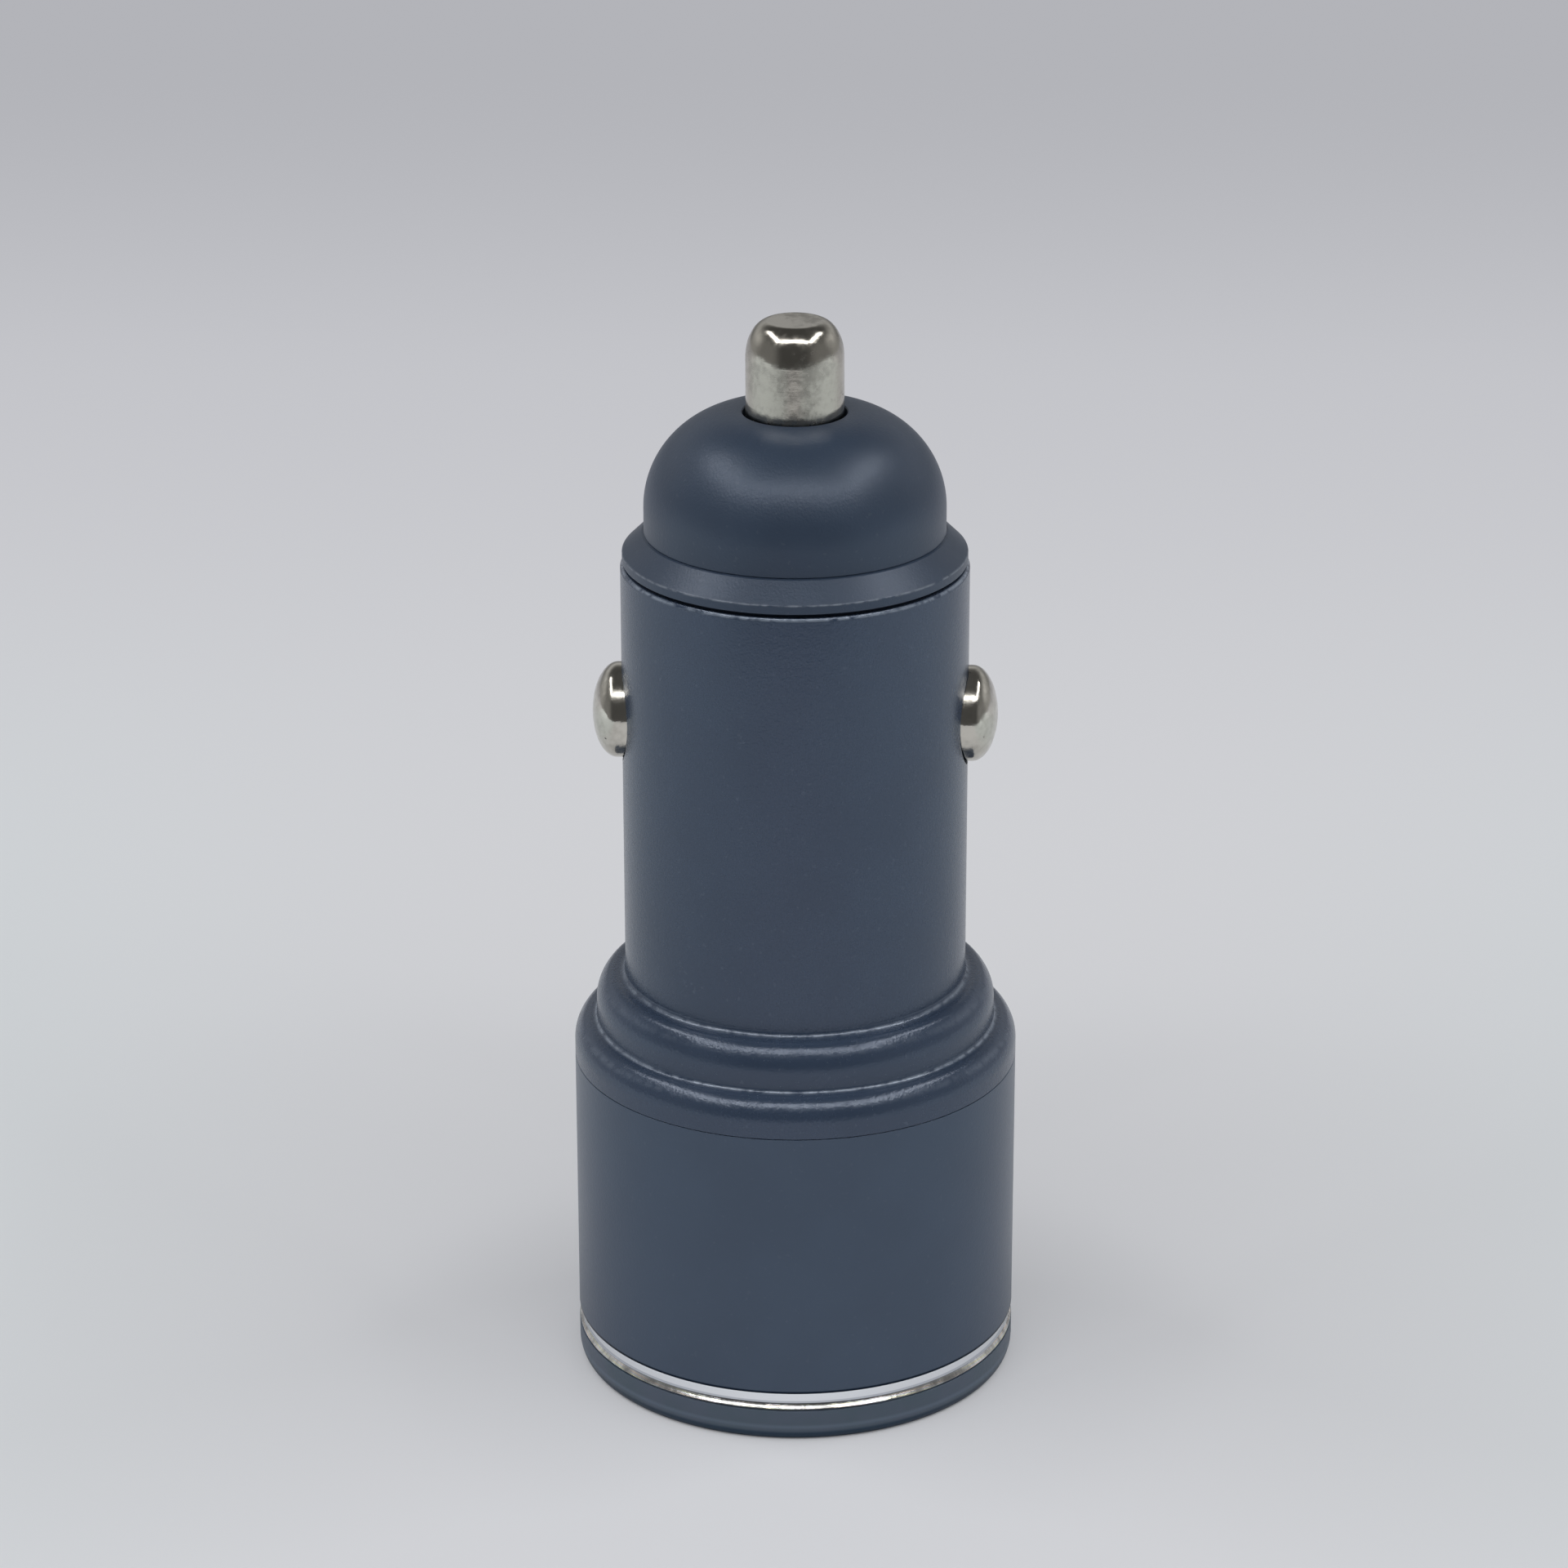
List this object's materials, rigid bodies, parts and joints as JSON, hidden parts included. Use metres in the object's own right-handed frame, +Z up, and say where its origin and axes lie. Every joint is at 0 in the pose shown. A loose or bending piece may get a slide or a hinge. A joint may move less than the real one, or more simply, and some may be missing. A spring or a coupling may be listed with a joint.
{
  "type": "car usb charger plug",
  "caption": "Turned metal car charger plug with a stepped head, a domed nose, a sprung tip, sprung side contacts and charging ports in its face",
  "frame": {"origin": "centre of the port face, on the surface that the charger stands on", "axes": "+Z runs up the plug's axis to the tip contact, +X points to the right side contact, and the ports' wide sides lie along X"},
  "size_m": [0.0266, 0.0266, 0.0656],
  "materials": {
    "anodised_body": "fine matt slate-blue anodising over turned metal",
    "anodised_sleeve": "fine matt slate-blue anodising, a shade darker than the body",
    "anodised_nose": "satin slate-blue anodising",
    "bright_ring": "polished band with a diamond cut bevel",
    "face_dark": "satin dark grey moulding",
    "contact_nickel": "bright nickel plate over brass",
    "spring_steel": "drawn spring wire",
    "bush_plastic": "natural white moulding",
    "seat_brass": "plain brass",
    "strip_plate": "tin plated strip",
    "carrier_plastic": "black moulding",
    "liner_film": "amber insulating film",
    "board_laminate": "green solder mask over glass laminate",
    "solder": "soft solder",
    "port_steel": "bright nickel plated sheet steel",
    "tongue_plastic": "white heat resistant moulding",
    "pin_gold": "gold flash over bronze strip",
    "ferrite": "dark grey ferrite",
    "copper_wire": "enamelled copper wire",
    "can_aluminium": "drawn can",
    "base_plastic": "black moulding",
    "chip_resin": "black moulded resin",
    "leg_tin": "tin plated legs",
    "fuse_ceramic": "pale ceramic with plated ends",
    "capacitor_ceramic": "tan ceramic with plated ends",
    "resistor_film": "black film on ceramic"
  },
  "bodies": {
    "housing": {"barrel_shell": "anodised_body", "head_sleeve": "anodised_sleeve", "trim_ring": "bright_ring", "face_bezel": "face_dark", "nose_cap": "anodised_nose", "tip_bush": "bush_plastic", "tip_spring": "spring_steel", "tip_spring_seat": "seat_brass", "ground_spring_left": "spring_steel", "ground_spring_right": "spring_steel", "ground_strip_left": "strip_plate", "ground_strip_right": "strip_plate", "contact_carrier": "carrier_plastic", "insulating_liner": "liner_film", "circuit_board": "board_laminate", "tip_solder": "solder", "usb_shell_front": "port_steel", "usb_shell_back": "port_steel", "usb_tongue_front": "tongue_plastic", "usb_tongue_back": "tongue_plastic", "usb_pins_front": "pin_gold", "usb_pins_back": "pin_gold", "inductor_core": "ferrite", "inductor_winding": "copper_wire", "input_capacitor": "can_aluminium", "input_capacitor_base": "base_plastic", "output_capacitor": "can_aluminium", "output_capacitor_base": "base_plastic", "converter_chip": "chip_resin", "converter_chip_legs": "leg_tin", "port_chips": "chip_resin", "port_chip_legs": "leg_tin", "catch_diode": "chip_resin", "input_fuse": "fuse_ceramic", "ceramic_capacitors": "capacitor_ceramic", "chip_resistors": "resistor_film"},
    "tip": {"tip_contact": "contact_nickel"},
    "contact_left": {"ground_contact_left": "contact_nickel"},
    "contact_right": {"ground_contact_right": "contact_nickel"}
  },
  "joints": [
    {"name": "tip_slide", "type": "slide", "parent": "housing", "child": "tip", "axis": [0, 0, -1], "range_m": [0, 0.003], "stiffness_N_per_m": 1100, "deforming": ["tip_spring"]},
    {"name": "contact_left_slide", "type": "slide", "parent": "housing", "child": "contact_left", "axis": [1, 0, 0], "range_m": [0, 0.00175], "stiffness_N_per_m": 1100, "deforming": ["ground_spring_left"]},
    {"name": "contact_right_slide", "type": "slide", "parent": "housing", "child": "contact_right", "axis": [-1, 0, 0], "range_m": [0, 0.00175], "stiffness_N_per_m": 1100, "deforming": ["ground_spring_right"]}
  ]
}
